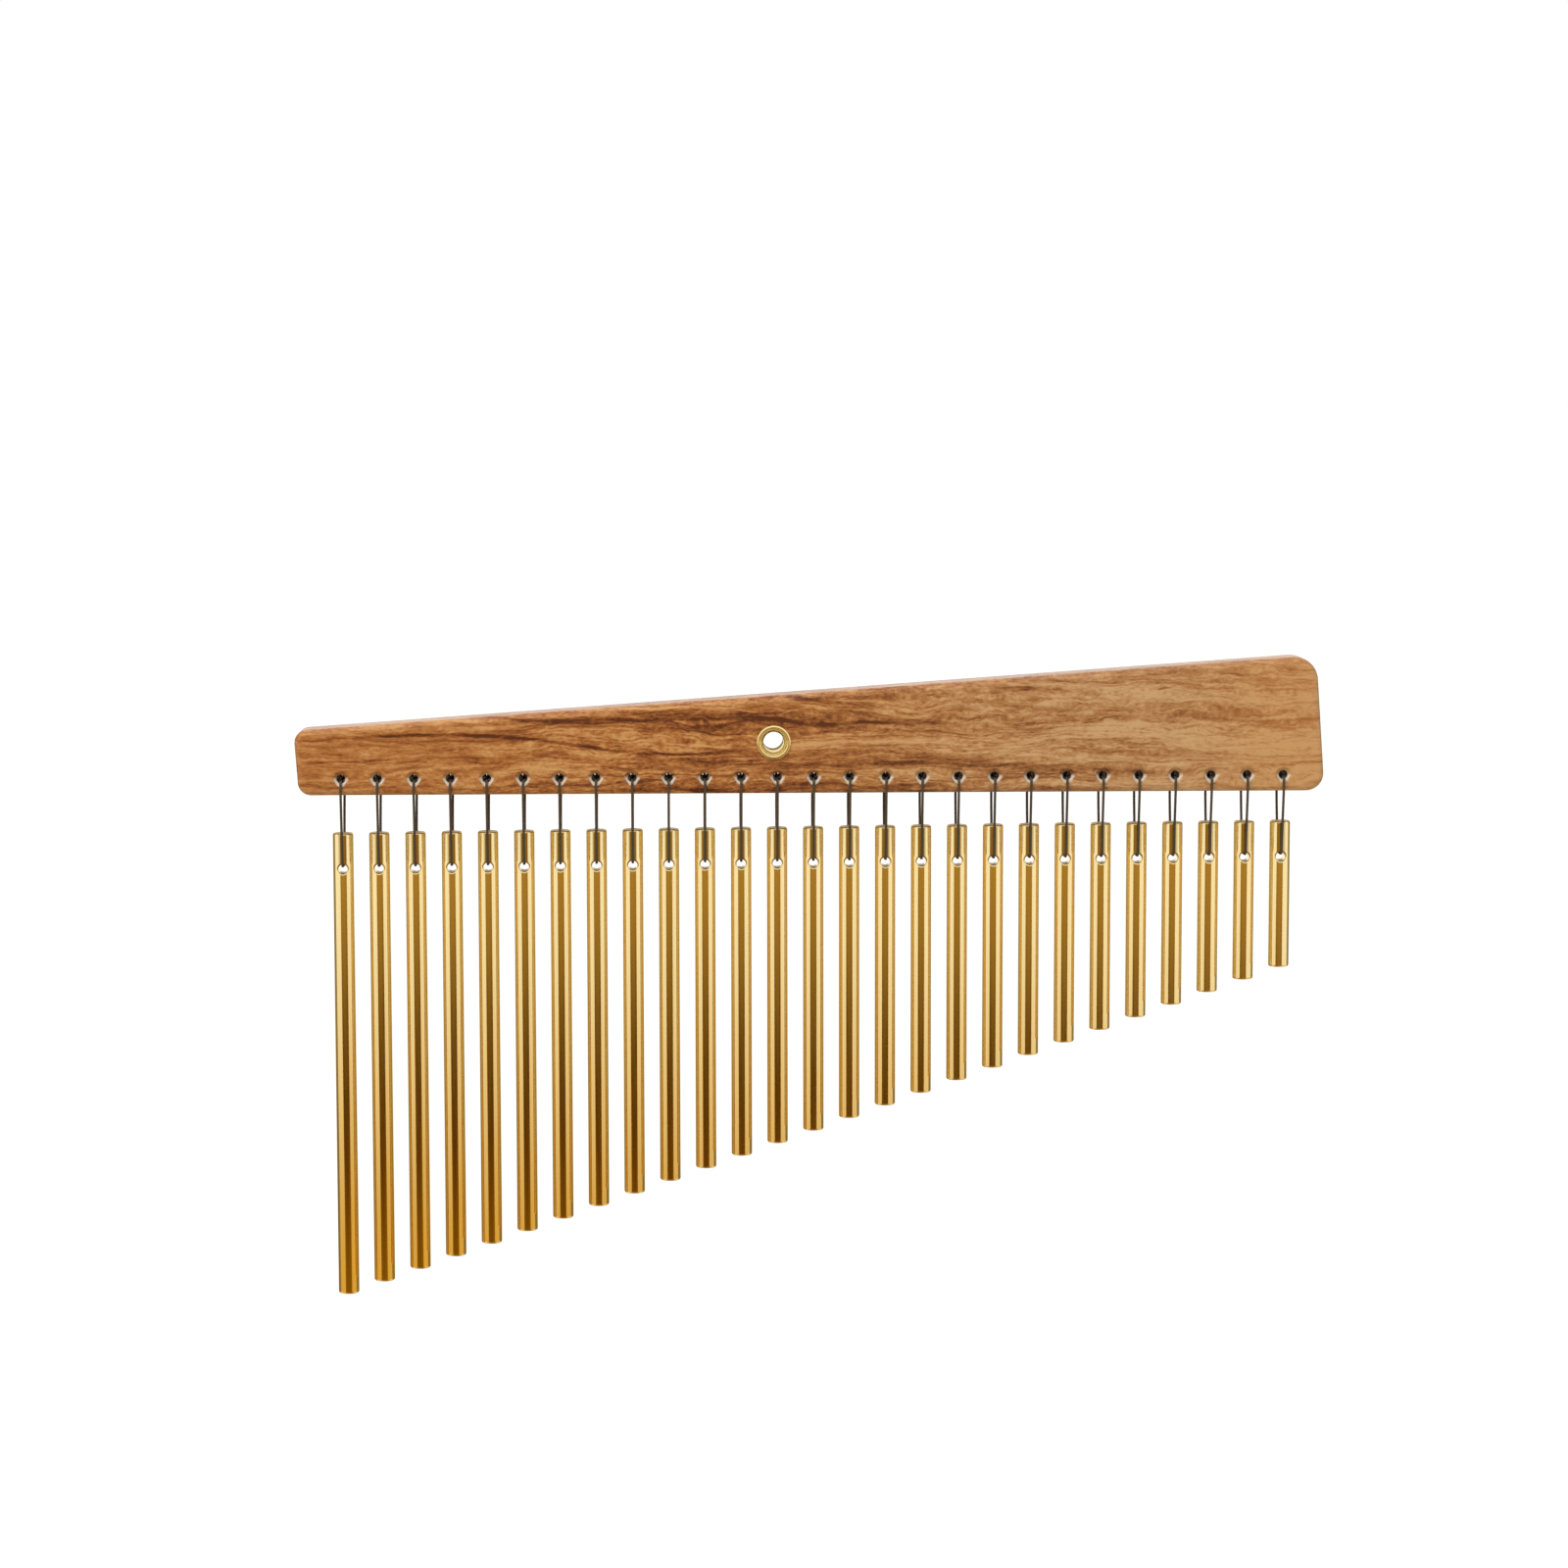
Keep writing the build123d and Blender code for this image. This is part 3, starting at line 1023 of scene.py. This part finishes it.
# Upright cards that only mirrors see: their places, and their colours by height in metres
FRONT_CARD_Y = -2.6
FRONT_CARD_HALF_WIDTH = 1.85
FRONT_CARD_TINTS = [
    (-0.88, (0.25, 0.11, 0.0)),
    (-0.72, (0.06, 0.015, 0.0)),
    (-0.60, (0.08, 0.035, 0.0)),
    (-0.42, (0.42, 0.25, 0.05)),
    (0.15, (0.45, 0.28, 0.07)),
    (0.60, (1.0, 1.0, 1.0)),
]
SIDE_CARD_X = 2.4
SIDE_CARD_Y = 1.6
SIDE_CARD_TURN = 55
SIDE_CARD_HALF_WIDTH = 1.5
SIDE_CARD_TINTS = [
    (-0.75, (0.22, 0.17, 0.08)),
    (-0.40, (0.32, 0.26, 0.15)),
    (2.2, (0.32, 0.26, 0.15)),
]


def seen_directly(tree):
    """1 where the camera, a reflection or clear glass looks at the surface, and 0 for soft light."""
    path = node(tree, "ShaderNodeLightPath").outputs
    mirrored = math_node(tree, "MAXIMUM", path["Is Glossy Ray"], path["Is Transmission Ray"])
    return math_node(tree, "MAXIMUM", path["Is Camera Ray"], mirrored)


def make_world():
    """Soft light from all round, white where it is seen."""
    world = bpy.data.worlds.new("studio")
    bpy.context.scene.world = world
    world.use_nodes = True
    tree = world.node_tree
    tree.nodes.clear()
    soft = node(tree, "ShaderNodeBackground", {"Color": (*WARM_WHITE, 1), "Strength": SOFT_LIGHT})
    white = node(tree, "ShaderNodeBackground", {"Color": WHITE, "Strength": 1.0})
    links = {0: seen_directly(tree), 1: soft.outputs[0], 2: white.outputs[0]}
    mixed = node(tree, "ShaderNodeMixShader", links)
    node(tree, "ShaderNodeOutputWorld", {"Surface": mixed.outputs[0]})


def flat_piece(name, corners, material):
    """A flat four-cornered piece of the studio."""
    mesh = bpy.data.meshes.new(name)
    mesh.from_pydata(corners, [], [(0, 1, 2, 3)])
    mesh.materials.append(material)
    made = bpy.data.objects.new(name, mesh)
    bpy.context.scene.collection.objects.link(made)
    return made


def floor_in_mirrors(tree):
    """The floor's colour as the bars mirror it."""
    at = placed(tree, (1, 1, 0))
    distance = length_of(tree, at)
    ahead = math_node(tree, "DIVIDE", math_node(tree, "ABSOLUTE", axes(tree, at)["Y"]), distance)
    to_the_sides = fall(tree, ahead, *NEAR_BRIGHT_ANGLE)
    bright = math_node(tree, "MULTIPLY", to_the_sides, span(tree, distance, *NEAR_BRIGHT_STARTS))
    near = mix(tree, bright, NEAR_TINT, NEAR_BRIGHT_TINT)
    share = math_node(tree, "MULTIPLY", distance, 1 / FAR_REACH)
    far = ramp(tree, share, [(metres / FAR_REACH, colour) for metres, colour in FAR_TINTS])
    return mix(tree, span(tree, distance, *NEAR_ENDS), near, far)


def make_floor():
    """A pale floor that is white to the camera and warm near the object in mirrors."""
    material, tree = new_material("floor")
    pale = node(tree, "ShaderNodeBsdfDiffuse", {"Color": FLOOR_COLOUR})
    lift = node(tree, "ShaderNodeEmission", {"Color": WHITE, "Strength": FLOOR_LIFT})
    lifted = node(tree, "ShaderNodeAddShader", {0: pale.outputs[0], 1: lift.outputs[0]})
    mirrored = node(tree, "ShaderNodeEmission", {"Color": floor_in_mirrors(tree), "Strength": 1.0})
    path = node(tree, "ShaderNodeLightPath").outputs
    links = {0: path["Is Camera Ray"], 1: pale.outputs[0], 2: lifted.outputs[0]}
    to_camera = node(tree, "ShaderNodeMixShader", links)
    links = {0: path["Is Glossy Ray"], 1: to_camera.outputs[0], 2: mirrored.outputs[0]}
    to_mirror = node(tree, "ShaderNodeMixShader", links)
    finish_material(tree, to_mirror.outputs[0])
    ways = [(-1, -1), (1, -1), (1, 1), (-1, 1)]
    corners = [(x * FLOOR_REACH, y * FLOOR_REACH, FLOOR_Z) for x, y in ways]
    flat_piece("floor", corners, material)


def make_card(name, place, turn, half_width, stops):
    """An upright card that only mirrors see, as high as the last of its (height, colour) stops."""
    material, tree = new_material(name)
    top = stops[-1][0]
    height = top - FLOOR_Z
    share = math_node(tree, "MULTIPLY_ADD", axes(tree, own_place(tree))["Z"], 1 / height, -FLOOR_Z / height)
    tint = ramp(tree, share, [((z - FLOOR_Z) / height, colour) for z, colour in stops])
    shader = node(tree, "ShaderNodeEmission", {"Color": tint, "Strength": 1.0})
    finish_material(tree, shader.outputs[0])
    along = Matrix.Rotation(math.radians(turn), 3, "Z") @ Vector((half_width, 0, 0))
    foot, head = Vector((*place, FLOOR_Z)), Vector((*place, top))
    card = flat_piece(name, [foot - along, foot + along, head + along, head - along], material)
    card.visible_camera = False
    card.visible_diffuse = False
    card.visible_transmission = False
    card.visible_volume_scatter = False
    card.visible_shadow = False


def make_cards():
    """One card draws the dark line down the front of each bar, and two draw its dark edges."""
    make_card("front_card", (0, FRONT_CARD_Y), 0, FRONT_CARD_HALF_WIDTH, FRONT_CARD_TINTS)
    for name, side in (("left_card", -1), ("right_card", 1)):
        place = (side * SIDE_CARD_X, SIDE_CARD_Y)
        make_card(name, place, -side * SIDE_CARD_TURN, SIDE_CARD_HALF_WIDTH, SIDE_CARD_TINTS)


def make_key_lamp():
    """A wide lamp above the front left, which mirrors don't see."""
    data = bpy.data.lights.new("key", "AREA")
    data.shape = "SQUARE"
    data.size = KEY_SIZE
    data.energy = KEY_POWER
    data.color = WARM_WHITE
    lamp = bpy.data.objects.new("key", data)
    lamp.location = KEY_PLACE
    lamp.rotation_mode = "QUATERNION"
    lamp.rotation_quaternion = (Vector(KEY_TARGET) - Vector(KEY_PLACE)).to_track_quat("-Z", "Y")
    lamp.visible_glossy = False
    bpy.context.scene.collection.objects.link(lamp)


def make_camera():
    """The camera of the photograph."""
    data = bpy.data.cameras.new("camera")
    data.lens = CAMERA_LENS
    data.sensor_width = CAMERA_SENSOR
    data.clip_end = CAMERA_REACH
    camera = bpy.data.objects.new("camera", data)
    bpy.context.scene.collection.objects.link(camera)
    yaw, pitch, roll = (math.radians(a) for a in (CAMERA_YAW, CAMERA_PITCH, CAMERA_ROLL))
    forward = Vector((math.sin(yaw) * math.cos(pitch), math.cos(yaw) * math.cos(pitch), math.sin(pitch)))
    level = Vector((math.cos(yaw), -math.sin(yaw), 0))
    up = level.cross(forward)
    right = level * math.cos(roll) + up * math.sin(roll)
    up = up * math.cos(roll) - level * math.sin(roll)
    turn = Matrix((right, up, -forward)).transposed()
    camera.matrix_world = Matrix.Translation(CAMERA_PLACE) @ turn.to_4x4()
    bpy.context.scene.camera = camera


make_mantle(wood_material())
brass = brass_material()
make_eyelet(brass)
make_washer(brass)
gold = gold_material()
for number in numbers:
    make_bar(number, gold)
make_camera()
dark_cord = cord_material()
for number in numbers:
    make_cord(number, dark_cord)
make_world()
make_floor()
make_cards()
make_key_lamp()
bpy.context.scene.view_settings.view_transform = "Standard"
